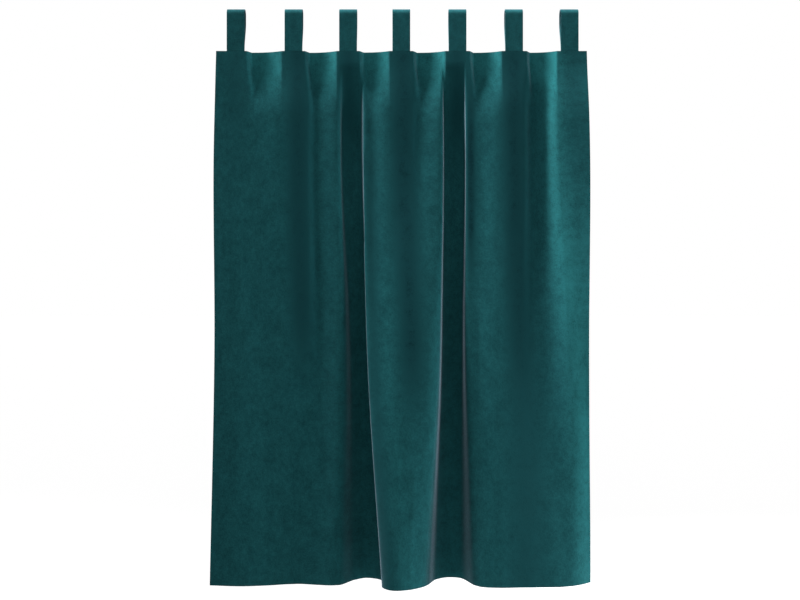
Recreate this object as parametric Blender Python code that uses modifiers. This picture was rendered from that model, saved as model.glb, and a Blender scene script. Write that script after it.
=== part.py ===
"""Velvet tab top curtain: one hanging panel with seven tab loops sewn to its top edge.

Metres, +Z up, +X to the right of someone who looks at the front, and +Y away from them.
The origin is the middle of the hanging line: over the rod's centre line, at the top of the loops.
"""

import math
from collections import namedtuple

import bmesh
import bpy

COLLECTION = "velvet_tab_top_curtain"

# The whole curtain.
DROP = 1.755
TAB_RISE = 0.131
PANEL_TOP = -TAB_RISE
CLOTH = 0.002
SEWN_GAP = 0.0003

# A tab loop: a strip that climbs the front, turns over where a rod goes, and comes down behind.
TAB_WIDTH = 0.054
TURN_RADIUS = 0.016
TURN_STEPS = 10
BACK_LEG_STEPS = 9
BACK_LEG_STRAIGHT = 0.020
TAIL_LENGTH = 0.022
PANEL_Y = -TURN_RADIUS
TAB_CENTRES = (-0.503, -0.327, -0.161, 0.001, 0.172, 0.344, 0.513)

# The heading: level under the tabs, and set back between them.
Recess = namedtuple("Recess", "left right depth")
RECESSES = (
    Recess(-0.472, -0.361, 0.021),
    Recess(-0.295, -0.194, 0.022),
    Recess(-0.129, -0.034, 0.019),
    Recess(0.034, 0.137, 0.022),
    Recess(0.206, 0.308, 0.022),
    Recess(0.379, 0.475, 0.021),
)
RECESS_WALL = 0.017
RECESS_RISE = 2.4
RECESS_LEAN = 0.10
HEADING_LEVEL = 0.030
HEADING_FADE = 0.170
HEADING_DRAW_IN = 0.986

# Below the heading, each crease runs down the cloth past three levels.
# x is its place across the curtain.
# y is how far back it stands from the tabs' plane, or how far in front where it is negative.
CHEST = 0.300
WAIST = 0.880
HEM = DROP - TAB_RISE
Crease = namedtuple("Crease", "name x_chest x_waist x_hem y_chest y_waist y_hem")
CREASES = (
    Crease("left edge", -0.570, -0.567, -0.581, 0.004, 0.000, -0.002),
    Crease("left swell", -0.496, -0.489, -0.485, 0.000, -0.006, -0.012),
    Crease("first recess", -0.428, -0.420, -0.396, -0.003, -0.002, -0.001),
    Crease("second tab, left", -0.356, -0.353, -0.339, -0.008, -0.005, 0.011),
    Crease("second tab, right", -0.286, -0.282, -0.299, -0.003, 0.001, 0.012),
    Crease("second recess", -0.262, -0.248, -0.231, 0.005, 0.008, -0.001),
    Crease("left valley, lip", -0.194, -0.178, -0.190, -0.002, 0.001, 0.001),
    Crease("left valley, wall", -0.175, -0.152, -0.143, 0.022, 0.045, 0.058),
    Crease("left valley, floor", -0.147, -0.125, -0.106, 0.032, 0.059, 0.079),
    Crease("left valley, far side", -0.123, -0.101, -0.062, 0.028, 0.053, 0.058),
    Crease("lobe, under the roll", -0.117, -0.096, -0.052, 0.016, 0.024, 0.019),
    Crease("lobe, left roll", -0.111, -0.103, -0.057, 0.003, -0.003, -0.020),
    Crease("lobe, shelf", -0.088, -0.079, -0.039, 0.003, -0.015, -0.050),
    Crease("lobe, crest", -0.044, -0.027, -0.015, -0.005, -0.031, -0.059),
    Crease("lobe, front", 0.028, 0.038, 0.021, -0.002, -0.038, -0.051),
    Crease("lobe, right front", 0.056, 0.087, 0.060, 0.003, -0.033, -0.025),
    Crease("lobe, right roll", 0.119, 0.116, 0.082, -0.003, -0.013, 0.005),
    Crease("right valley, near side", 0.134, 0.129, 0.109, 0.023, 0.040, 0.062),
    Crease("right valley, floor", 0.161, 0.158, 0.147, 0.034, 0.062, 0.086),
    Crease("right valley, far side", 0.190, 0.186, 0.184, 0.026, 0.050, 0.078),
    Crease("right valley, lip", 0.204, 0.203, 0.225, 0.002, 0.001, -0.001),
    Crease("fifth recess", 0.247, 0.240, 0.251, 0.001, -0.005, -0.022),
    Crease("sixth tab, left", 0.297, 0.283, 0.292, -0.006, -0.014, -0.028),
    Crease("sixth tab, right", 0.374, 0.366, 0.371, -0.002, -0.009, -0.025),
    Crease("sixth recess", 0.400, 0.398, 0.420, 0.015, -0.002, -0.023),
    Crease("fan, foot", 0.437, 0.452, 0.478, 0.018, 0.000, -0.020),
    Crease("fan, brow", 0.480, 0.508, 0.532, -0.006, -0.019, -0.004),
    Crease("right edge", 0.573, 0.568, 0.582, -0.010, -0.022, 0.032),
)

# A smooth curve keeps its direction between knots when its slope there is under this many steps.
STEEPEST = 2.6

# How finely the panel is drawn.
SAMPLES = 1200
COLUMN_SPACING = 0.0200
COLUMN_MERGE = 0.0070
HEADING_ROWS = 8
LOWER_ROWS = 11

TEAL = (0.0075, 0.050, 0.055, 1.0)
TAB_TEAL = (0.0068, 0.046, 0.050, 1.0)


def pairs(items):
    return list(zip(items, items[1:]))


def evenly(count):
    return [step / count for step in range(count + 1)]


def smoothstep(value):
    value = min(max(value, 0.0), 1.0)
    return value * value * (3.0 - 2.0 * value)


def slopes(knots, values):
    """The slope of a smooth curve at each knot, held back where a steeper one would overshoot."""
    steps = [(b - a) / (v - u) for u, v, a, b in zip(knots, knots[1:], values, values[1:])]
    found = [steps[0]]
    for before, after, left, middle, right in zip(steps, steps[1:], knots, knots[1:], knots[2:]):
        slope = (before * (right - middle) + after * (middle - left)) / (right - left)
        if before * after > 0.0:
            steepest = STEEPEST * min(abs(before), abs(after))
            slope = min(max(slope, -steepest), steepest)
        found.append(slope)
    found.append(steps[-1])
    return found


def along(knots, values, place):
    """The smooth curve through the values, read at one place."""
    grades = slopes(knots, values)
    span = len(knots) - 2
    while span > 0 and place < knots[span]:
        span -= 1
    width = knots[span + 1] - knots[span]
    t = (place - knots[span]) / width
    bend = values[span] * (1 + 2 * t) * (1 - t) ** 2 + values[span + 1] * t * t * (3 - 2 * t)
    return bend + width * t * (1 - t) * (grades[span] * (1 - t) - grades[span + 1] * t)


def crease_places():
    """How far across the cloth each crease lies, from the runs between creases at all three levels."""
    places = [0.0]
    for a, b in pairs(CREASES):
        at_hem = math.hypot(b.x_hem - a.x_hem, b.y_hem - a.y_hem)
        at_waist = math.hypot(b.x_waist - a.x_waist, b.y_waist - a.y_waist)
        at_chest = math.hypot(b.x_chest - a.x_chest, b.y_chest - a.y_chest)
        places.append(places[-1] + at_hem + at_waist + at_chest)
    return [place / places[-1] for place in places]


def crease_row(drop):
    """Where every crease stands at one height, as a list of x and a list of y."""
    levels = (0.0, CHEST, WAIST, HEM)
    across = []
    back = []
    for crease in CREASES:
        x_top = crease.x_chest * HEADING_DRAW_IN
        across.append(along(levels, (x_top, crease.x_chest, crease.x_waist, crease.x_hem), drop))
        back.append(along(levels, (crease.y_chest, crease.y_chest, crease.y_waist, crease.y_hem), drop))
    return across, back


def recess_depth(x, drop):
    """How far back the heading stands between two tabs: a steep wall, then a slow climb forward."""
    for recess in RECESSES:
        left = recess.left + RECESS_LEAN * max(drop - HEADING_LEVEL, 0.0)
        floor = left + RECESS_WALL
        if left < x <= floor:
            return recess.depth * smoothstep((x - left) / RECESS_WALL)
        if floor < x < recess.right:
            return recess.depth * (1.0 - ((x - floor) / (recess.right - floor)) ** RECESS_RISE)
    return 0.0


def panel_row(places, drop):
    """One level of the panel's middle surface, as (x, y) at each place across the cloth."""
    knots = crease_places()
    across, back = crease_row(drop)
    lower = smoothstep((drop - HEADING_LEVEL) / HEADING_FADE)
    row = []
    for place in places:
        x = along(knots, across, place)
        y = along(knots, back, place)
        row.append((x, PANEL_Y + lower * y + (1.0 - lower) * recess_depth(x, drop)))
    return row


def place_under(x):
    """The place across the cloth whose top edge is at x."""
    low = 0.0
    high = 1.0
    knots = crease_places()
    across, _ = crease_row(0.0)
    for _ in range(40):
        middle = 0.5 * (low + high)
        if along(knots, across, middle) < x:
            low = middle
        else:
            high = middle
    return 0.5 * (low + high)


def column_places():
    """Where the mesh's columns lie across the cloth: at every turn, and then evenly between them."""
    width = sum(math.dist(a, b) for a, b in pairs(panel_row(evenly(SAMPLES), HEM)))
    wanted = [0.0, 1.0]
    for recess in RECESSES:
        for x in (recess.left, recess.left + RECESS_WALL, recess.right):
            wanted.append(place_under(x))
    for place in crease_places():
        if min(abs(place - other) for other in wanted) * width > COLUMN_MERGE:
            wanted.append(place)
    wanted.sort()
    columns = []
    for left, right in pairs(wanted):
        parts = max(1, math.ceil((right - left) * width / COLUMN_SPACING))
        columns.extend(left + (right - left) * part / parts for part in range(parts))
    return columns + [1.0]


def row_drops():
    """How far below the top edge each row of the mesh lies: close rows in the heading, wide below."""
    heading_end = HEADING_LEVEL + HEADING_FADE
    drops = [0.0]
    drops += [HEADING_LEVEL + HEADING_FADE * part / HEADING_ROWS for part in range(HEADING_ROWS)]
    drops += [heading_end + (HEM - heading_end) * part / LOWER_ROWS for part in range(LOWER_ROWS + 1)]
    return drops


def velvet(name, colour):
    material = bpy.data.materials.new(name)
    material.use_nodes = True
    shader = material.node_tree.nodes["Principled BSDF"]
    shader.inputs["Base Color"].default_value = colour
    shader.inputs["Roughness"].default_value = 0.95
    shader.inputs["Metallic"].default_value = 0.0
    return material


def sheet(name, rows, material, collection):
    """A cloth sheet: an open grid through rows of points, which Solidify makes as thick as the cloth."""
    grid = bmesh.new()
    bmesh.ops.create_grid(grid, x_segments=len(rows[0]) - 1, y_segments=len(rows) - 1, size=0.5)
    for vert in grid.verts:
        column = round((vert.co.x + 0.5) * (len(rows[0]) - 1))
        row = round((vert.co.y + 0.5) * (len(rows) - 1))
        vert.co = rows[row][column]
    mesh = bpy.data.meshes.new(name)
    grid.to_mesh(mesh)
    grid.free()
    mesh.shade_smooth()
    mesh.materials.append(material)
    piece = bpy.data.objects.new(name, mesh)
    collection.objects.link(piece)
    thickness = piece.modifiers.new("cloth", "SOLIDIFY")
    thickness.thickness = CLOTH
    thickness.offset = 0.0
    thickness.use_even_offset = True
    return piece


def make_panel(collection):
    places = column_places()
    rows = []
    for drop in reversed(row_drops()):
        rows.append([(x, y, PANEL_TOP - drop) for x, y in panel_row(places, drop)])
    return sheet("panel", rows, velvet("panel_velvet", TEAL), collection)


def tab_profile():
    """A tab's middle line, up from the panel, over the rod's place and down behind, as (y, z)."""
    centre_z = -TURN_RADIUS - CLOTH / 2
    tail_y = PANEL_Y + CLOTH + SEWN_GAP
    line = [(PANEL_Y, PANEL_TOP + SEWN_GAP), (PANEL_Y, 0.5 * (PANEL_TOP + centre_z))]
    for step in range(TURN_STEPS + 1):
        angle = math.pi * (1.0 - step / TURN_STEPS)
        line.append((TURN_RADIUS * math.cos(angle), centre_z + TURN_RADIUS * math.sin(angle)))
    leg_top = centre_z - BACK_LEG_STRAIGHT
    leg_end = PANEL_TOP + 2 * CLOTH
    for step in range(BACK_LEG_STEPS + 1):
        share = step / BACK_LEG_STEPS
        y = TURN_RADIUS + (tail_y - TURN_RADIUS) * smoothstep(share)
        line.append((y, leg_top + (leg_end - leg_top) * share))
    line.append((tail_y, PANEL_TOP - TAIL_LENGTH))
    return line


def make_tab(number, centre, material, collection):
    left = centre - TAB_WIDTH / 2
    right = centre + TAB_WIDTH / 2
    rows = [[(left, y, z), (right, y, z)] for y, z in tab_profile()]
    return sheet(f"tab_{number}", rows, material, collection)


def main():
    for item in list(bpy.data.objects):
        bpy.data.objects.remove(item, do_unlink=True)
    collection = bpy.data.collections.new(COLLECTION)
    bpy.context.scene.collection.children.link(collection)
    make_panel(collection)
    tab_velvet = velvet("tab_velvet", TAB_TEAL)
    for number, centre in enumerate(TAB_CENTRES, start=1):
        make_tab(number, centre, tab_velvet, collection)


main()
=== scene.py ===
import math
from collections import namedtuple

import bmesh
import bpy
import numpy as np
from bpy.props import FloatProperty, FloatVectorProperty, PointerProperty
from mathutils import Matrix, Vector, noise


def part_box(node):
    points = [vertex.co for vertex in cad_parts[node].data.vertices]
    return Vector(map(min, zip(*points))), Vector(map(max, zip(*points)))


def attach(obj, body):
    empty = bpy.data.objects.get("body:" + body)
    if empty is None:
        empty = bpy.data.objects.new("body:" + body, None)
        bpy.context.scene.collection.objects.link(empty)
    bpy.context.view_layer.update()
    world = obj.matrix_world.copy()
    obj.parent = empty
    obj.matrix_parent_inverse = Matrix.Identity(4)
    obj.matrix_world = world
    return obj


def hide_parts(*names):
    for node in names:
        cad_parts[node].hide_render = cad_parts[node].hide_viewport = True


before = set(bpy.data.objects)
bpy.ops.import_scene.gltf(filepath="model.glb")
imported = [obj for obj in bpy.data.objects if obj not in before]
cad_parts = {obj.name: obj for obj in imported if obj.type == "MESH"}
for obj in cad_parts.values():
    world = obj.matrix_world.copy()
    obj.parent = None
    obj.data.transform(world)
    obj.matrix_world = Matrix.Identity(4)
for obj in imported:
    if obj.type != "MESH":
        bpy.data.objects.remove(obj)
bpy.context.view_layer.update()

bl_info = {
    "name": "Velvet Tab Top Curtain",
    "version": (1, 0, 0),
    "blender": (4, 5, 0),
    "location": "View3D > Sidebar > Curtain",
    "description": "Hangs a velvet curtain in soft folds from seven sewn tab loops",
    "category": "Add Mesh",
}

ROOT = "root"

# What the frame says about the panel and the tabs.
PANEL_NODE = "panel"
TAB_NODES = sorted(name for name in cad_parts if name.startswith("tab_"))
PANEL_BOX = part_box(PANEL_NODE)
TAB_BOXES = [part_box(name) for name in TAB_NODES]
HEAD_Z = PANEL_BOX[1].z
DROP = PANEL_BOX[1].z - PANEL_BOX[0].z
CAD_CLOTH = 0.002
FRONT_Y = TAB_BOXES[0][0].y
HANG_Y = FRONT_Y + CAD_CLOTH / 2
TAIL_DROP = HEAD_Z - TAB_BOXES[0][0].z

# The heading: level under the tabs, and set back between them.
Recess = namedtuple("Recess", "left right depth")
RECESSES = (
    Recess(-0.472, -0.361, 0.021),
    Recess(-0.295, -0.194, 0.022),
    Recess(-0.129, -0.034, 0.019),
    Recess(0.034, 0.137, 0.022),
    Recess(0.206, 0.308, 0.022),
    Recess(0.379, 0.475, 0.021),
)
RECESS_WALL = 0.017
RECESS_RISE = 2.4
RECESS_LEAN = 0.10
HEADING_LEVEL = 0.030
HEADING_FADE = 0.170
HEADING_DRAW_IN = 0.986

# Below the heading, each crease runs down the cloth past three levels.
# x is its place across the curtain.
# y is how far back it stands from the tabs' plane, or how far in front where it is negative.
CHEST = 0.300
WAIST = 0.880
STEEPEST = 2.6
Crease = namedtuple("Crease", "name x_chest x_waist x_hem y_chest y_waist y_hem")
CREASES = (
    Crease("left edge", -0.570, -0.567, -0.581, 0.004, 0.000, -0.002),
    Crease("left swell", -0.496, -0.489, -0.485, 0.000, -0.006, -0.012),
    Crease("first recess", -0.428, -0.420, -0.396, -0.003, -0.002, -0.001),
    Crease("second tab, left", -0.356, -0.353, -0.339, -0.008, -0.005, 0.011),
    Crease("second tab, right", -0.286, -0.282, -0.299, -0.003, 0.001, 0.012),
    Crease("second recess", -0.262, -0.248, -0.231, 0.005, 0.008, -0.001),
    Crease("left valley, lip", -0.194, -0.178, -0.190, -0.002, 0.001, 0.001),
    Crease("left valley, wall", -0.175, -0.152, -0.143, 0.022, 0.045, 0.058),
    Crease("left valley, floor", -0.147, -0.125, -0.106, 0.032, 0.059, 0.079),
    Crease("left valley, far side", -0.123, -0.101, -0.062, 0.028, 0.053, 0.058),
    Crease("lobe, under the roll", -0.117, -0.096, -0.052, 0.016, 0.024, 0.019),
    Crease("lobe, left roll", -0.111, -0.103, -0.057, 0.003, -0.003, -0.020),
    Crease("lobe, shelf", -0.088, -0.079, -0.039, 0.003, -0.015, -0.050),
    Crease("lobe, crest", -0.044, -0.027, -0.015, -0.005, -0.031, -0.059),
    Crease("lobe, front", 0.028, 0.038, 0.021, -0.002, -0.038, -0.051),
    Crease("lobe, right front", 0.056, 0.087, 0.060, 0.003, -0.033, -0.025),
    Crease("lobe, right roll", 0.119, 0.116, 0.082, -0.003, -0.013, 0.005),
    Crease("right valley, near side", 0.134, 0.129, 0.109, 0.023, 0.040, 0.062),
    Crease("right valley, floor", 0.161, 0.158, 0.147, 0.034, 0.062, 0.086),
    Crease("right valley, far side", 0.190, 0.186, 0.184, 0.026, 0.050, 0.078),
    Crease("right valley, lip", 0.204, 0.203, 0.225, 0.002, 0.001, -0.001),
    Crease("fifth recess", 0.247, 0.240, 0.251, 0.001, -0.005, -0.022),
    Crease("sixth tab, left", 0.297, 0.283, 0.292, -0.006, -0.014, -0.028),
    Crease("sixth tab, right", 0.374, 0.366, 0.371, -0.002, -0.009, -0.025),
    Crease("sixth recess", 0.400, 0.398, 0.420, 0.015, -0.002, -0.023),
    Crease("fan, foot", 0.437, 0.452, 0.478, 0.018, 0.000, -0.020),
    Crease("fan, brow", 0.480, 0.508, 0.532, -0.006, -0.019, -0.004),
    Crease("right edge", 0.573, 0.568, 0.582, -0.010, -0.022, 0.032),
)

# Painted light and shade: bands that run down the cloth from one drop to another.
# Above 0 a painted highlight makes the velvet lighter. Below 0 painted shade makes it darker.
PaintedBand = namedtuple("PaintedBand", "name x_chest x_waist x_hem half_width strength starts ends")
PAINTED_BANDS = (
    PaintedBand("under the first tab", -0.503, -0.503, -0.503, 0.034, -0.25, -0.40, 0.10),
    PaintedBand("under the second tab", -0.312, -0.300, -0.300, 0.038, -0.65, -0.40, 0.75),
    PaintedBand("under the third tab", -0.161, -0.161, -0.161, 0.032, -0.60, -0.40, 0.10),
    PaintedBand("under the fourth tab", 0.006, 0.030, 0.040, 0.040, -0.75, -0.40, 0.85),
    PaintedBand("under the fifth tab", 0.172, 0.172, 0.172, 0.032, -0.60, -0.40, 0.10),
    PaintedBand("under the sixth tab", 0.342, 0.360, 0.370, 0.042, -0.70, -0.40, 0.80),
    PaintedBand("under the seventh tab", 0.530, 0.530, 0.530, 0.034, -0.20, -0.40, 0.10),
    PaintedBand("beside the right valley", 0.212, 0.212, 0.212, 0.014, -1.00, 0.00, 0.45),
    PaintedBand("below the sixth tab", 0.342, 0.370, 0.380, 0.065, -0.40, 0.80, 2.00),
    PaintedBand("along the lobe", -0.055, -0.046, 0.020, 0.036, 0.15, 0.60, 2.00),
    PaintedBand("down the lobe's left", -0.090, -0.080, -0.040, 0.020, -0.35, 0.10, 2.00),
    PaintedBand("fan", 0.462, 0.526, 0.570, 0.034, 0.50, -0.40, 2.00),
    PaintedBand("right-hand side", 0.560, 0.575, 0.580, 0.060, 0.50, 0.35, 1.10),
)
# How softly each painted band begins and ends, and the painted highlight on the heading between the tabs.
PAINTED_BAND_FADE = 0.35
HEADING_PAINTED_HIGHLIGHT = 1.0
HEADING_PAINTED_HIGHLIGHT_FADE = 0.165
HEADING_PAINTED_HIGHLIGHT_EDGE = 0.006

# How finely the velvet is drawn.
SAMPLES = 2400
PANEL_COLUMNS = 340
PANEL_ROWS = 108
BEND_WEIGHT = 0.10
HEAD_CROWDING = 0.28
STEP_WIDTH = 0.0016
TAB_COLUMNS = 12
TAB_TURN_STEPS = 20
TAB_LEG_STEPS = 24
TAB_TAIL_STEPS = 6
SEAM_SAMPLES_ACROSS = 700
SEAM_SAMPLES_DOWN = 260
SEAM_SAMPLES_TAB = 12
SEAM_PROBE = 0.0015
RUN_OF_STITCHES = 30

# Where a tab's back leg leaves the loop, and where it meets the panel.
LEG_START_BELOW_TURN = 0.020
LEG_END_ABOVE_HEAD = 0.004

# How many of each mark the velvet has in a metre, across and down.
PATCHES_PER_METRE = (24.0, 17.0)
SPOTS_PER_METRE = (75.0, 62.0)
FLECKS_PER_METRE = (230.0, 200.0)
PILE_PER_METRE = (1300.0, 1100.0)

# The lamps: the setting that holds each one's power, its place, the point it is aimed at,
# the radius of its soft face and the width of its cone in degrees.
Lamp = namedtuple("Lamp", "name power place target radius cone")
LAMPS = (
    Lamp("left_lamp", "left_power", (-3.8, -0.55, 6.6), (0.2, HANG_Y, 0.1), 0.7, 16.0),
    Lamp("right_lamp", "right_power", (2.9, -0.35, -0.70), (0.1, HANG_Y, -1.75), 0.35, 56.0),
    Lamp("rim_lamp", "rim_power", (5.3, -0.62, 4.2), (0.0, HANG_Y, 0.15), 0.5, 16.0),
)
FLOOR_REACH = 60.0


class CurtainCloth(bpy.types.PropertyGroup):
    flat_width: FloatProperty(
        name="Flat width", description="Width of the panel before it is hung", default=1.40, unit="LENGTH"
    )
    thickness: FloatProperty(
        name="Velvet", description="Thickness of one layer of velvet", default=0.0020, unit="LENGTH"
    )
    hem_thickness: FloatProperty(
        name="Hem", description="Thickness where the velvet is turned in", default=0.0032, unit="LENGTH"
    )
    side_hem: FloatProperty(
        name="Side hem", description="Width of the turned sides", default=0.025, unit="LENGTH"
    )
    head_hem: FloatProperty(
        name="Head hem", description="Depth of the turned top edge", default=0.035, unit="LENGTH"
    )
    foot_hem: FloatProperty(
        name="Foot hem", description="Depth of the hem at the foot", default=0.080, unit="LENGTH"
    )
    ripple: FloatProperty(
        name="Ripple", description="Height of the soft ripples in the cloth", default=0.0011,
        unit="LENGTH",
    )
    deep_colour: FloatVectorProperty(
        name="Deep colour", description="Velvet where its pile lies down",
        subtype="COLOR", size=3, min=0.0, max=1.0, default=(0.0042, 0.0310, 0.0350),
    )
    raised_colour: FloatVectorProperty(
        name="Raised colour", description="Velvet where its pile stands up",
        subtype="COLOR", size=3, min=0.0, max=1.0, default=(0.0096, 0.0690, 0.0760),
    )
    # Painted highlight and painted shade: the colours the velvet is mixed toward where light or shade is
    # painted on.
    painted_highlight_colour: FloatVectorProperty(
        name="Painted highlight colour", description="Velvet made lighter by painted highlights",
        subtype="COLOR", size=3, min=0.0, max=1.0, default=(0.0130, 0.1000, 0.1080),
    )
    painted_shade_colour: FloatVectorProperty(
        name="Painted shade colour", description="Velvet made darker by painted shade",
        subtype="COLOR", size=3, min=0.0, max=1.0, default=(0.0026, 0.0200, 0.0240),
    )
    mottle: FloatProperty(
        name="Mottle", description="How gradual the patches are. Less makes them stronger",
        default=0.16, min=0.01, max=0.5,
    )
    sheen_colour: FloatVectorProperty(
        name="Sheen colour", description="Tint of the light along the pile's tips",
        subtype="COLOR", size=3, min=0.0, max=1.0, default=(0.64, 0.81, 1.00),
    )
    sheen: FloatProperty(
        name="Sheen", description="How strongly the pile's tips catch the light",
        default=0.80, min=0.0, max=1.0,
    )
    # Painted shade: the tabs' velvet is a darker copy of the panel's.
    tab_shade: FloatProperty(
        name="Tab shade", description="How much darker the tabs are than the panel",
        default=0.12, min=0.0, max=1.0,
    )


class CurtainTabs(bpy.types.PropertyGroup):
    thickness: FloatProperty(
        name="Tab", description="Thickness of the doubled strip", default=0.0024, unit="LENGTH"
    )
    tail_gap: FloatProperty(
        name="Tail gap", description="Room between a tab's tail and the panel", default=0.0002,
        unit="LENGTH",
    )


class CurtainStitches(bpy.types.PropertyGroup):
    length: FloatProperty(
        name="Stitch", description="Length of one stitch that shows", default=0.0032, unit="LENGTH"
    )
    pitch: FloatProperty(
        name="Pitch", description="Distance from one stitch to the next", default=0.0048, unit="LENGTH"
    )
    thread: FloatProperty(
        name="Thread", description="Thickness of the sewing thread", default=0.0005, unit="LENGTH"
    )
    margin: FloatProperty(
        name="Margin", description="Distance from a seam line to the fold beside it", default=0.003,
        unit="LENGTH",
    )
    colour: FloatVectorProperty(
        name="Thread colour", description="Colour of the sewing thread",
        subtype="COLOR", size=3, min=0.0, max=1.0, default=(0.006, 0.040, 0.045),
    )


class CurtainStage(bpy.types.PropertyGroup):
    lens: FloatProperty(
        name="Lens", description="Focal length in millimetres", default=44.4, min=20.0, max=200.0
    )
    distance: FloatProperty(
        name="Distance", description="From the camera to the tabs' plane", default=3.0, unit="LENGTH"
    )
    eye_side: FloatProperty(
        name="Camera, sideways", description="Place of the camera along X", default=-0.003, unit="LENGTH"
    )
    eye_level: FloatProperty(
        name="Camera, height", description="Place of the camera along Z", default=-0.888, unit="LENGTH"
    )
    sky: FloatProperty(
        name="Sky", description="Strength of the soft light all round", default=0.38, min=0.0
    )
    left_power: FloatProperty(
        name="Left lamp", description="Power of the high left lamp", default=19000.0, unit="POWER"
    )
    right_power: FloatProperty(
        name="Right lamp", description="Power of the low right lamp", default=490.0, unit="POWER"
    )
    rim_power: FloatProperty(
        name="Rim lamp", description="Power of the high right lamp", default=2700.0, unit="POWER"
    )
    floor_drop: FloatProperty(
        name="Floor", description="How far the floor lies under the hem", default=0.25, unit="LENGTH"
    )


def smoothstep(value):
    """From 0 to 1 as the value goes, level at both ends."""
    value = np.clip(value, 0.0, 1.0)
    return value * value * (3.0 - 2.0 * value)


def along(knots, values, places):
    """A smooth curve through the values, read at many places. It is held back where it would overshoot."""
    knots = np.asarray(knots, float)
    values = np.asarray(values, float)
    widths = np.diff(knots)
    steps = np.diff(values) / widths
    middle = (steps[:-1] * widths[1:] + steps[1:] * widths[:-1]) / (widths[1:] + widths[:-1])
    steepest = STEEPEST * np.minimum(abs(steps[:-1]), abs(steps[1:]))
    held = np.clip(middle, -steepest, steepest)
    middle = np.where(steps[:-1] * steps[1:] > 0.0, held, middle)
    grades = np.concatenate([steps[:1], middle, steps[-1:]])
    places = np.asarray(places, float)
    span = np.clip(np.searchsorted(knots, places, side="right") - 1, 0, len(widths) - 1)
    width = widths[span]
    t = (places - knots[span]) / width
    bend = values[span] * (1 + 2 * t) * (1 - t) ** 2 + values[span + 1] * t * t * (3 - 2 * t)
    return bend + width * t * (1 - t) * (grades[span] * (1 - t) - grades[span + 1] * t)


def crease_places():
    """How far across the cloth each crease lies, from the runs between creases at all three levels."""
    rows = np.array([crease[1:] for crease in CREASES])
    runs = np.diff(rows, axis=0)
    lengths = sum(np.hypot(runs[:, level], runs[:, level + 3]) for level in range(3))
    places = np.concatenate([[0.0], np.cumsum(lengths)])
    return places / places[-1]


def recess_depth(x, drop):
    """How far back the heading stands between two tabs: a steep wall, then a slow climb forward."""
    depth = np.zeros_like(x)
    for recess in RECESSES:
        left = recess.left + RECESS_LEAN * max(drop - HEADING_LEVEL, 0.0)
        floor = left + RECESS_WALL
        wall = smoothstep((x - left) / RECESS_WALL)
        climb = 1.0 - np.clip((x - floor) / (recess.right - floor), 0.0, 1.0) ** RECESS_RISE
        depth += recess.depth * np.where(x < floor, wall, climb)
    return depth


def folds_at(places, drop):
    """One level of the cloth's middle surface, as arrays of x and y at each place across it."""
    levels = (0.0, CHEST, WAIST, DROP)
    knots = crease_places()
    across = []
    back = []
    for crease in CREASES:
        x_top = crease.x_chest * HEADING_DRAW_IN
        across.append(along(levels, (x_top, crease.x_chest, crease.x_waist, crease.x_hem), [drop])[0])
        back.append(along(levels, (crease.y_chest, crease.y_chest, crease.y_waist, crease.y_hem), [drop])[0])
    x = along(knots, across, places)
    lower = smoothstep((drop - HEADING_LEVEL) / HEADING_FADE)
    y = lower * along(knots, back, places) + (1.0 - lower) * recess_depth(x, drop)
    return x, HANG_Y + y


def ripple(u, drop, height):
    """Soft unevenness of hung velvet: long ripples that run down it, and smaller dents.

    The tails of the tabs hold the cloth flat, so the ripples start below them.
    """
    long_ripple = noise.noise(Vector((u / 0.045, drop / 0.42, 3.1)))
    dent = noise.noise(Vector((u / 0.030, drop / 0.060, 8.7)))
    loose = float(smoothstep((drop - TAIL_DROP) / HEADING_FADE))
    return height * (long_ripple + 0.25 * dent) * loose


def painted_light_at(x, drop):
    """The painted light across one level of the cloth, from -1 for full painted shade to 1 for full painted
    highlight.
    """
    levels = (0.0, CHEST, WAIST, DROP)
    lie = np.zeros_like(x)
    # A painted highlight on the heading between each pair of tabs, fading out further down.
    for recess in RECESSES:
        left = recess.left + RECESS_LEAN * max(drop - HEADING_LEVEL, 0.0)
        inside = smoothstep((x - left) / RECESS_WALL)
        inside *= smoothstep((recess.right - x) / HEADING_PAINTED_HIGHLIGHT_EDGE)
        lie += HEADING_PAINTED_HIGHLIGHT * inside * (1.0 - smoothstep(drop / HEADING_PAINTED_HIGHLIGHT_FADE))
    # Painted shade under the tabs and beside the folds, and painted highlights along the lobe, the fan and
    # the right-hand side.
    for band in PAINTED_BANDS:
        middle = along(levels, (band.x_chest, band.x_chest, band.x_waist, band.x_hem), [drop])[0]
        begun = smoothstep((drop - band.starts) / PAINTED_BAND_FADE)
        ended = smoothstep((drop - band.ends) / PAINTED_BAND_FADE)
        lie += band.strength * begun * (1.0 - ended) * np.exp(-(((x - middle) / band.half_width) ** 2))
    return np.clip(lie, -1.0, 1.0)


def with_steps(values, steps, room):
    """The values and the steps in order, without the values that lie too near a step."""
    kept = [value for value in values if min(abs(value - step) for step in steps) > room]
    return np.array(sorted(kept + steps))


def cloth_columns(cloth):
    """Places across the cloth: closest where it bends, with a pair at each hem's inner edge."""
    even = np.linspace(0.0, 1.0, SAMPLES)
    weight = np.zeros(SAMPLES - 1)
    for drop in (0.0, 0.05, CHEST / 2, CHEST, WAIST, DROP):
        x, y = folds_at(even, drop)
        runs = np.hypot(np.diff(x), np.diff(y))
        heading = np.unwrap(np.arctan2(np.diff(y), np.diff(x)))
        turn = np.abs(np.concatenate([[0.0], np.diff(heading)]))
        weight += runs / runs.sum() + BEND_WEIGHT * turn
    weight = np.concatenate([[0.0], np.cumsum(weight)])
    columns = np.interp(np.linspace(0.0, weight[-1], PANEL_COLUMNS), weight, even)
    edge = cloth.side_hem / cloth.flat_width
    step = STEP_WIDTH / cloth.flat_width
    pairs = [edge - step, edge, 1.0 - edge, 1.0 - edge + step]
    return with_steps(columns, pairs, 0.6 * step)


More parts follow.
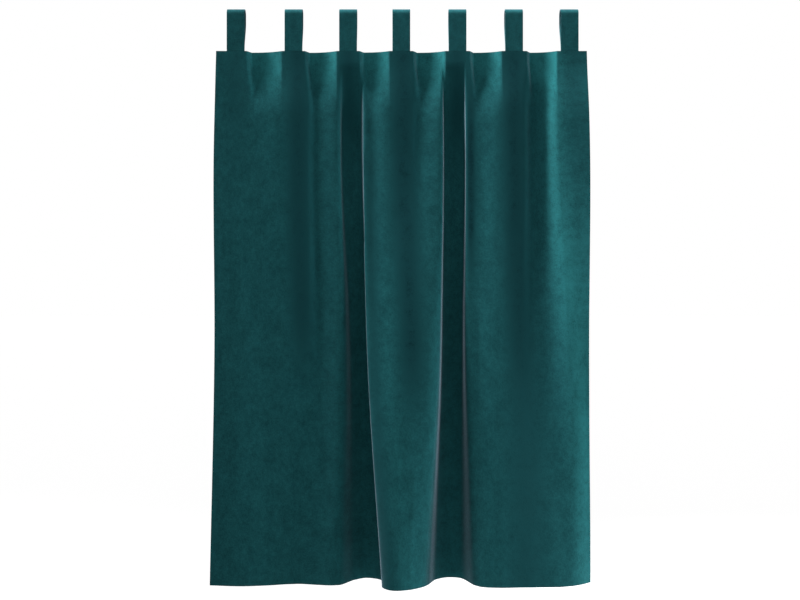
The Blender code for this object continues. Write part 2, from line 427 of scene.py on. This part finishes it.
def cloth_rows(cloth):
    """Drops below the top edge: close in the heading and at the hems, and wider between them."""
    share = np.linspace(0.0, 1.0, PANEL_ROWS)
    drops = DROP * ((1.0 - HEAD_CROWDING) * share + HEAD_CROWDING * share ** 2.2)
    steps = [cloth.head_hem, cloth.head_hem + STEP_WIDTH]
    steps += [DROP - cloth.foot_hem - STEP_WIDTH, DROP - cloth.foot_hem]
    return with_steps(drops, steps, 0.6 * STEP_WIDTH)


def grid_mesh(rows, uvs):
    """An open sheet through rows of points, with its cloth measures as a UV map."""
    sheet = bmesh.new()
    columns = len(rows[0])
    bmesh.ops.create_grid(sheet, x_segments=columns - 1, y_segments=len(rows) - 1, size=0.5)
    uv_layer = sheet.loops.layers.uv.new("cloth")
    places = {}
    for vert in sheet.verts:
        column = round((vert.co.x + 0.5) * (columns - 1))
        row = round((vert.co.y + 0.5) * (len(rows) - 1))
        places[vert] = uvs[row][column]
        vert.co = rows[row][column]
    for face in sheet.faces:
        face.smooth = True
        for loop in face.loops:
            loop[uv_layer].uv = places[loop.vert]
    sheet.normal_update()
    return sheet


def finish_piece(name, sheet, material):
    """An object at the origin with the modelled mesh and one material."""
    mesh = bpy.data.meshes.new(name)
    sheet.to_mesh(mesh)
    sheet.free()
    mesh.materials.append(material)
    piece = bpy.data.objects.new(name, mesh)
    bpy.context.scene.collection.objects.link(piece)
    return piece


def thicken(piece, thickness):
    """Grows a front surface backwards into cloth, with softly turned edges."""
    layer = piece.modifiers.new("cloth", "SOLIDIFY")
    layer.thickness = thickness
    layer.offset = -1.0
    layer.use_even_offset = True
    soft = piece.modifiers.new("soft edge", "BEVEL")
    soft.limit_method = "ANGLE"
    soft.angle_limit = math.radians(60.0)
    soft.width = 0.28 * thickness
    soft.segments = 2
    soft.harden_normals = True
    return layer


def new_material(name):
    """A material with its node tree."""
    material = bpy.data.materials.new(name)
    material.use_nodes = True
    return material, material.node_tree


def add(tree, kind, **settings):
    """A node with its inputs, or its own settings, given by name."""
    node = tree.nodes.new(kind)
    for key, value in settings.items():
        if key in node.inputs:
            node.inputs[key].default_value = value
        else:
            setattr(node, key, value)
    return node


def pattern(tree, source, scale, **settings):
    """A noise that follows the cloth. scale is how many patches there are in a metre, across and down."""
    stretch = add(tree, "ShaderNodeMapping")
    stretch.inputs["Scale"].default_value = (scale[0], scale[1], 1.0)
    tree.links.new(source, stretch.inputs["Vector"])
    cloud = add(tree, "ShaderNodeTexNoise", Scale=1.0, **settings)
    tree.links.new(stretch.outputs["Vector"], cloud.inputs["Vector"])
    return cloud.outputs["Fac"]


def mixed(tree, first, second, share):
    """A share of the second value and the rest of the first."""
    mix = add(tree, "ShaderNodeMix")
    mix.inputs["Factor"].default_value = share
    tree.links.new(first, mix.inputs["A"])
    tree.links.new(second, mix.inputs["B"])
    return mix.outputs["Result"]


def ranged(tree, value, low, high):
    """A value from 0 to 1, taken to one from low to high."""
    node = add(tree, "ShaderNodeMapRange")
    node.inputs["To Min"].default_value = low
    node.inputs["To Max"].default_value = high
    tree.links.new(value, node.inputs["Value"])
    return node.outputs["Result"]


def velvet_colour(tree, cloth, darker, raised):
    """From deep to raised by the patches, and on to the painted highlight or painted shade colour by the
    painted light and shade on the mesh.
    """
    kept = 1.0 - darker
    mottle = add(tree, "ShaderNodeMix", data_type="RGBA")
    mottle.inputs["A"].default_value = (*(kept * part for part in cloth.deep_colour), 1.0)
    mottle.inputs["B"].default_value = (*(kept * part for part in cloth.raised_colour), 1.0)
    tree.links.new(raised, mottle.inputs["Factor"])
    # The painted light and shade on the mesh: above 0 toward the painted highlight colour, below 0 toward the
    # painted shade colour.
    lie = add(tree, "ShaderNodeAttribute", attribute_name="pile lie").outputs["Fac"]
    uneven = ranged(tree, raised, 0.30, 1.60)
    colour = mottle.outputs["Result"]
    for sign, target in ((1.0, cloth.painted_highlight_colour), (-1.0, cloth.painted_shade_colour)):
        share = add(tree, "ShaderNodeMath", operation="MULTIPLY")
        share.inputs[1].default_value = sign
        tree.links.new(lie, share.inputs[0])
        patchy = add(tree, "ShaderNodeMath", operation="MULTIPLY")
        tree.links.new(share.outputs["Value"], patchy.inputs[0])
        tree.links.new(uneven, patchy.inputs[1])
        turned = add(tree, "ShaderNodeMix", data_type="RGBA")
        turned.inputs["B"].default_value = (*target, 1.0)
        tree.links.new(colour, turned.inputs["A"])
        tree.links.new(patchy.outputs["Value"], turned.inputs["Factor"])
        colour = turned.outputs["Result"]
    return colour


def velvet_bump(tree, patches, pile):
    """Shallow waves under the fine grain of the pile."""
    waves = add(tree, "ShaderNodeBump", Strength=0.6, Distance=0.0012)
    tree.links.new(patches, waves.inputs["Height"])
    grain = add(tree, "ShaderNodeBump", Strength=0.6, Distance=0.0003)
    tree.links.new(pile, grain.inputs["Height"])
    tree.links.new(waves.outputs["Normal"], grain.inputs["Normal"])
    return grain.outputs["Normal"]


def velvet_material(name, cloth, darker):
    """Cut pile velvet: patches, flecks and fine grain, with a soft sheen and with painted highlights and
    painted shade.

    darker is the share of its colour that it loses all over: painted shade, which gives the tabs a darker
    copy of the panel's velvet.
    """
    material, tree = new_material(name)
    shader = tree.nodes["Principled BSDF"]
    measures = add(tree, "ShaderNodeUVMap", uv_map="cloth").outputs["UV"]
    patches = pattern(tree, measures, PATCHES_PER_METRE, Detail=2.0, Roughness=0.5)
    spots = pattern(tree, measures, SPOTS_PER_METRE, Detail=2.0, Roughness=0.5)
    flecks = pattern(tree, measures, FLECKS_PER_METRE, Detail=2.0, Roughness=0.6)
    pile = pattern(tree, measures, PILE_PER_METRE, Detail=2.0, Roughness=0.6)
    brushed = mixed(tree, mixed(tree, patches, spots, 0.50), flecks, 0.40)
    spread = add(tree, "ShaderNodeMapRange")
    spread.inputs["From Min"].default_value = 0.5 - cloth.mottle
    spread.inputs["From Max"].default_value = 0.5 + cloth.mottle
    tree.links.new(mixed(tree, brushed, pile, 0.12), spread.inputs["Value"])
    colour = velvet_colour(tree, cloth, darker, spread.outputs["Result"])
    tree.links.new(colour, shader.inputs["Base Color"])
    tree.links.new(ranged(tree, flecks, 0.82, 0.98), shader.inputs["Roughness"])
    tree.links.new(velvet_bump(tree, brushed, pile), shader.inputs["Normal"])
    shader.inputs["Specular IOR Level"].default_value = 0.0
    shader.inputs["Sheen Weight"].default_value = cloth.sheen
    shader.inputs["Sheen Roughness"].default_value = 0.30
    shader.inputs["Sheen Tint"].default_value = (*cloth.sheen_colour, 1.0)
    return material


def thread_material(name, colour):
    """Twisted sewing thread, a little shinier than the pile."""
    material, tree = new_material(name)
    shader = tree.nodes["Principled BSDF"]
    coords = add(tree, "ShaderNodeTexCoord").outputs["Object"]
    twist = add(tree, "ShaderNodeTexWave", Scale=900.0, Distortion=1.5)
    tree.links.new(coords, twist.inputs["Vector"])
    tone = add(tree, "ShaderNodeMix", data_type="RGBA")
    tone.inputs["A"].default_value = (*(0.75 * part for part in colour), 1.0)
    tone.inputs["B"].default_value = (*(1.25 * part for part in colour), 1.0)
    tree.links.new(twist.outputs["Fac"], tone.inputs["Factor"])
    tree.links.new(tone.outputs["Result"], shader.inputs["Base Color"])
    ply = add(tree, "ShaderNodeBump", Strength=0.5, Distance=0.0002)
    tree.links.new(twist.outputs["Fac"], ply.inputs["Height"])
    tree.links.new(ply.outputs["Normal"], shader.inputs["Normal"])
    shader.inputs["Roughness"].default_value = 0.6
    return material


def floor_material():
    """A pale, even studio floor."""
    material, tree = new_material("studio_floor")
    shader = tree.nodes["Principled BSDF"]
    shader.inputs["Base Color"].default_value = (0.35, 0.35, 0.35, 1.0)
    shader.inputs["Roughness"].default_value = 0.9
    shader.inputs["Emission Color"].default_value = (1.0, 1.0, 1.0, 1.0)
    shader.inputs["Emission Strength"].default_value = 0.85
    return material


def is_turned_in(u, drop, cloth):
    """Whether the velvet is turned in here: at a side, at the top or at the foot."""
    side = min(u, cloth.flat_width - u) < cloth.side_hem - 0.5 * STEP_WIDTH
    head = drop < cloth.head_hem + 0.5 * STEP_WIDTH
    foot = drop > DROP - cloth.foot_hem - 0.5 * STEP_WIDTH
    return side or head or foot


def make_panel(cloth):
    """The panel: a front surface on its folds, thickened backwards, and thicker where it is turned in."""
    columns = cloth_columns(cloth)
    drops = cloth_rows(cloth)
    rows = []
    uvs = []
    lies = []
    for drop in drops[::-1]:
        x, y = folds_at(columns, drop)
        # Painted light and shade at this level, kept for the velvet's colour.
        lies.extend(painted_light_at(x, drop))
        rows.append([Vector((side, back, HEAD_Z - drop)) for side, back in zip(x, y)])
        uvs.append([(place * cloth.flat_width, DROP - drop) for place in columns])
    sheet = grid_mesh(rows, uvs)
    turned = []
    for index, vert in enumerate(sheet.verts):
        row, column = divmod(index, len(columns))
        u = columns[column] * cloth.flat_width
        drop = drops[::-1][row]
        vert.co += vert.normal * (CAD_CLOTH / 2 + ripple(u, drop, cloth.ripple))
        turned.append(1.0 if is_turned_in(u, drop, cloth) else cloth.thickness / cloth.hem_thickness)
    panel = finish_piece("velvet_panel", sheet, velvet_material("panel_velvet", cloth, 0.0))
    # The painted light and shade, stored on the mesh for the velvet's colour.
    pile = panel.data.attributes.new("pile lie", "FLOAT", "POINT")
    pile.data.foreach_set("value", lies)
    group = panel.vertex_groups.new(name="turned in")
    for index, weight in enumerate(turned):
        group.add([index], weight, "REPLACE")
    thicken(panel, cloth.hem_thickness).vertex_group = group.name
    return panel


class CURTAIN_OT_panel(bpy.types.Operator):
    """Hang the velvet panel in its folds, with hems on all four sides"""
    bl_idname = "curtain.panel"
    bl_label = "Velvet Panel"

    def execute(self, context):
        cloth = context.scene.curtain_cloth
        panel = make_panel(cloth)
        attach(panel, ROOT)
        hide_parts(PANEL_NODE)
        return {"FINISHED"}


def tab_line(box, tabs, cloth):
    """A tab's outer line, up the front, over the rod's place and down to its tail, as (y, z)."""
    radius = (box[1].y - box[0].y) / 2
    centre_z = box[1].z - radius
    centre_y = (box[0].y + box[1].y) / 2
    tail_y = FRONT_Y + cloth.hem_thickness + tabs.tail_gap + tabs.thickness
    line = []
    for step in range(TAB_LEG_STEPS):
        share = step / TAB_LEG_STEPS
        line.append((box[0].y, HEAD_Z + tabs.tail_gap + (centre_z - HEAD_Z) * share))
    for step in range(TAB_TURN_STEPS + 1):
        angle = math.pi * (1.0 - step / TAB_TURN_STEPS)
        line.append((centre_y + radius * math.cos(angle), centre_z + radius * math.sin(angle)))
    leg_top = centre_z - LEG_START_BELOW_TURN
    leg_end = HEAD_Z + LEG_END_ABOVE_HEAD
    for step in range(TAB_LEG_STEPS + 1):
        share = step / TAB_LEG_STEPS
        y = box[1].y + (tail_y - box[1].y) * float(smoothstep(share))
        line.append((y, leg_top + (leg_end - leg_top) * share))
    for step in range(1, TAB_TAIL_STEPS + 1):
        line.append((tail_y, leg_end + (box[0].z - leg_end) * step / TAB_TAIL_STEPS))
    return line


def make_tab(name, box, tabs, cloth, material):
    """One tab: a strip along its line, thickened inwards."""
    line = tab_line(box, tabs, cloth)
    lengths = [0.0]
    for before, after in zip(line, line[1:]):
        lengths.append(lengths[-1] + math.dist(before, after))
    width = box[1].x - box[0].x
    rows = []
    uvs = []
    for (y, z), length in zip(line, lengths):
        across = [step / TAB_COLUMNS for step in range(TAB_COLUMNS + 1)]
        rows.append([Vector((box[0].x + share * width, y, z)) for share in across])
        uvs.append([(box[0].x + share * width, length) for share in across])
    sheet = grid_mesh(rows, uvs)
    tab = finish_piece(name, sheet, material)
    thicken(tab, tabs.thickness)
    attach(tab, ROOT)
    return tab


class CURTAIN_OT_tabs(bpy.types.Operator):
    """Sew a folded loop of velvet over each tab's place"""
    bl_idname = "curtain.tabs"
    bl_label = "Tab Loops"

    def execute(self, context):
        cloth = context.scene.curtain_cloth
        # The tabs get their own copy of the velvet, darkened by painted shade.
        material = velvet_material("tab_velvet", cloth, cloth.tab_shade)
        for node, box in zip(TAB_NODES, TAB_BOXES):
            tab = make_tab(f"velvet_{node}", box, context.scene.curtain_tabs, cloth, material)
            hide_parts(node)
        return {"FINISHED"}


def thread_stitch(seams, start, end, outward, stitches):
    """One stitch: a short bead of thread, half sunk in the pile."""
    run = end - start
    across = run.normalized().cross(outward).normalized()
    made = bmesh.ops.create_uvsphere(seams, u_segments=6, v_segments=5, radius=0.5)["verts"]
    middle = (start + end) / 2
    for vert in made:
        round_it = across * vert.co.x + outward * (vert.co.y + 0.15)
        vert.co = middle + run * vert.co.z + round_it * stitches.thread


def stitch_places(line, stitches):
    """Where the stitches of one line start and end, with the way out of the cloth there."""
    points = np.array([point for point, outward in line])
    runs = np.linalg.norm(np.diff(points, axis=0), axis=1)
    reach = np.concatenate([[0.0], np.cumsum(runs)])
    count = int((reach[-1] - stitches.length) / stitches.pitch) + 1
    room = (reach[-1] - (count - 1) * stitches.pitch - stitches.length) / 2
    found = []
    for step in range(count):
        places = room + step * stitches.pitch + np.array([0.0, stitches.length])
        start, end = np.column_stack([np.interp(places, reach, points[:, axis]) for axis in range(3)])
        nearest = int(np.argmin(abs(reach - places.mean())))
        found.append((Vector(start), Vector(end), line[nearest][1]))
    return found


def stitch_row(name, lines, stitches, material):
    """Joined stitches along several lines, each a list of (point, way out of the cloth).

    They are made in short runs, because a mesh with many parts is slow to add to.
    """
    places = [place for line in lines for place in stitch_places(line, stitches)]
    seams = bmesh.new()
    for first in range(0, len(places), RUN_OF_STITCHES):
        run = bmesh.new()
        for start, end, outward in places[first:first + RUN_OF_STITCHES]:
            thread_stitch(run, start, end, outward, stitches)
        part = bpy.data.meshes.new(name)
        run.to_mesh(part)
        run.free()
        seams.from_mesh(part)
        bpy.data.meshes.remove(part)
    for face in seams.faces:
        face.smooth = True
    row = finish_piece(name, seams, material)
    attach(row, ROOT)
    return row


def panel_back(places, drop, cloth):
    """Points on the back of the panel's hems at one level, each with the way out of the cloth."""
    places = np.asarray(places)
    x, y = folds_at(places, drop)
    x_after, y_after = folds_at(places + SEAM_PROBE, drop)
    x_before, y_before = folds_at(places - SEAM_PROBE, drop)
    found = []
    for index, place in enumerate(places):
        slope = Vector((x_after[index] - x_before[index], y_after[index] - y_before[index], 0.0))
        across = slope.normalized()
        back = Vector((-across.y, across.x, 0.0))
        sunk = cloth.hem_thickness - CAD_CLOTH / 2
        sunk -= ripple(place * cloth.flat_width, drop, cloth.ripple)
        found.append((Vector((x[index], y[index], HEAD_Z - drop)) + back * sunk, back))
    return found


def tab_stitch_lines(box, tabs, cloth, stitches):
    """A tab's tail is sewn to the panel behind, with a row across its foot and another under the top edge."""
    y = tab_line(box, tabs, cloth)[-1][0]
    lines = []
    for z in (box[0].z + stitches.margin, HEAD_Z - stitches.margin):
        xs = np.linspace(box[0].x + stitches.margin, box[1].x - stitches.margin, SEAM_SAMPLES_TAB)
        lines.append([(Vector((x, y, z)), Vector((0.0, 1.0, 0.0))) for x in xs])
    return lines


class CURTAIN_OT_stitches(bpy.types.Operator):
    """Sew the hems and the tabs with fine matching thread"""
    bl_idname = "curtain.stitches"
    bl_label = "Stitches"

    def execute(self, context):
        cloth = context.scene.curtain_cloth
        stitches = context.scene.curtain_stitches
        material = thread_material("sewing_thread", stitches.colour)
        side = (cloth.side_hem - stitches.margin) / cloth.flat_width
        across = np.linspace(0.004, 0.996, SEAM_SAMPLES_ACROSS)
        down = np.linspace(stitches.margin, DROP - stitches.margin, SEAM_SAMPLES_DOWN)
        sides = [panel_back([side, 1.0 - side], drop, cloth) for drop in down]
        lines = [
            panel_back(across, cloth.head_hem - stitches.margin, cloth),
            panel_back(across, DROP - cloth.foot_hem + stitches.margin, cloth),
            [pair[0] for pair in sides],
            [pair[1] for pair in sides],
        ]
        stitch_row("hem_stitches", lines, stitches, material)
        tab_lines = []
        for box in TAB_BOXES:
            tab_lines += tab_stitch_lines(box, context.scene.curtain_tabs, cloth, stitches)
        stitch_row("tab_stitches", tab_lines, stitches, material)
        return {"FINISHED"}


class CURTAIN_OT_stage(bpy.types.Operator):
    """Lay the pale floor, and set the soft lamps, the sky and the camera"""
    bl_idname = "curtain.stage"
    bl_label = "Studio"

    def execute(self, context):
        stage = context.scene.curtain_stage
        make_floor(stage)
        make_sky(stage.sky)
        for lamp in LAMPS:
            make_lamp(lamp, getattr(stage, lamp.power))
        make_camera(stage)
        context.scene.view_settings.view_transform = "Standard"
        return {"FINISHED"}


def make_floor(stage):
    """The studio floor, under the hem."""
    ground = bmesh.new()
    bmesh.ops.create_grid(ground, x_segments=2, y_segments=2, size=FLOOR_REACH)
    bmesh.ops.translate(ground, verts=ground.verts, vec=(0.0, 0.0, PANEL_BOX[0].z - stage.floor_drop))
    finish_piece("studio_floor", ground, floor_material())


def make_sky(strength):
    """White to look at, and softer as light."""
    sky = bpy.data.worlds.new("studio_sky")
    sky.use_nodes = True
    tree = sky.node_tree
    seen = add(tree, "ShaderNodeLightPath").outputs["Is Camera Ray"]
    backdrop = tree.nodes["Background"]
    backdrop.inputs["Color"].default_value = (1.0, 1.0, 1.0, 1.0)
    tree.links.new(ranged(tree, seen, strength, 1.0), backdrop.inputs["Strength"])
    bpy.context.scene.world = sky


def make_lamp(lamp, power):
    """A soft-edged lamp that lights one part of the curtain."""
    data = bpy.data.lights.new(lamp.name, "SPOT")
    data.energy = power
    data.spot_size = math.radians(lamp.cone)
    data.spot_blend = 1.0
    data.shadow_soft_size = lamp.radius
    light = bpy.data.objects.new(lamp.name, data)
    light.location = lamp.place
    aim = Vector(lamp.target) - Vector(lamp.place)
    light.rotation_euler = aim.to_track_quat("-Z", "Y").to_euler()
    bpy.context.scene.collection.objects.link(light)


def make_camera(stage):
    """A level camera in front of the curtain."""
    data = bpy.data.cameras.new("studio_camera")
    data.lens = stage.lens
    data.sensor_width = 36.0
    camera = bpy.data.objects.new("studio_camera", data)
    camera.location = (stage.eye_side, HANG_Y - stage.distance, stage.eye_level)
    camera.rotation_euler = (math.radians(90.0), 0.0, 0.0)
    bpy.context.scene.collection.objects.link(camera)
    bpy.context.scene.camera = camera


class CURTAIN_PT_sidebar(bpy.types.Panel):
    """Sizes and colours of the curtain, and the steps that make it"""
    bl_idname = "CURTAIN_PT_sidebar"
    bl_label = "Velvet Curtain"
    bl_space_type = "VIEW_3D"
    bl_region_type = "UI"
    bl_category = "Curtain"

    def draw(self, context):
        for group in GROUPS:
            settings = getattr(context.scene, group)
            for name in settings.bl_rna.properties.keys():
                if name not in ("rna_type", "name"):
                    self.layout.prop(settings, name)
        for step in STEPS:
            self.layout.operator(step.bl_idname)


GROUPS = {
    "curtain_cloth": CurtainCloth,
    "curtain_tabs": CurtainTabs,
    "curtain_stitches": CurtainStitches,
    "curtain_stage": CurtainStage,
}
STEPS = (CURTAIN_OT_panel, CURTAIN_OT_tabs, CURTAIN_OT_stitches, CURTAIN_OT_stage)


def register():
    for kind in (*GROUPS.values(), *STEPS, CURTAIN_PT_sidebar):
        bpy.utils.register_class(kind)
    for name, kind in GROUPS.items():
        setattr(bpy.types.Scene, name, PointerProperty(type=kind))


def unregister():
    for name in GROUPS:
        delattr(bpy.types.Scene, name)
    for kind in reversed((*GROUPS.values(), *STEPS, CURTAIN_PT_sidebar)):
        bpy.utils.unregister_class(kind)


def main():
    register()
    bpy.ops.curtain.panel()
    bpy.ops.curtain.tabs()
    bpy.ops.curtain.stitches()
    bpy.ops.curtain.stage()


if __name__ == "__main__":
    main()
